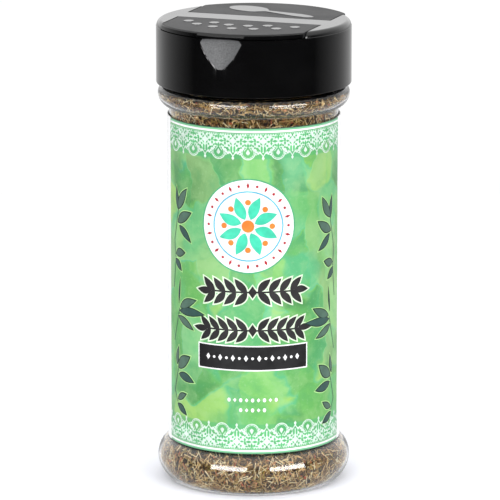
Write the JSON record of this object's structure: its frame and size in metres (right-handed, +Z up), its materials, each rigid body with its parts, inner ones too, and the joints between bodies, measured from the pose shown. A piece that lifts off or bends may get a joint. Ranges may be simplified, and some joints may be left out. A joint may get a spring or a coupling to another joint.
{
  "type": "spice shaker jar of dried thyme",
  "caption": "Round clear jar filled with dried thyme, with a wrap label and a screw cap that has a sifting side and a spoon side under hinged flaps.",
  "frame": {"origin": "middle of the jar's foot, on the surface that it stands on", "axes": "+Z up along the jar's axis, -Y towards the front of the label, +X to the right of someone facing the label"},
  "size_m": [0.0576, 0.058, 0.1386],
  "materials": {
    "jar": "clear, glossy",
    "label": "coated, printed in watercolour greens",
    "cap": "polished skirt, fine matt top",
    "sifter_flap": "fine matt with polished dots",
    "spoon_flap": "fine matt with a polished spoon sign",
    "thyme": "dry leaves and stalks, matt"
  },
  "bodies": {
    "jar": {"jar": "jar", "label": "label", "cap": "cap", "thyme": "thyme"},
    "sifter_flap": {"sifter_flap": "sifter_flap"},
    "spoon_flap": {"spoon_flap": "spoon_flap"}
  },
  "joints": [
    {"name": "sifter_flap_hinge", "type": "hinge", "parent": "jar", "child": "sifter_flap", "pos_m": [-0.00142, -0.0039, 0.1385], "axis": [-0.9397, 0.342, 0], "range_deg": [0, 98]},
    {"name": "spoon_flap_hinge", "type": "hinge", "parent": "jar", "child": "spoon_flap", "pos_m": [0.00142, 0.0039, 0.1385], "axis": [0.9397, -0.342, 0], "range_deg": [0, 98]}
  ]
}
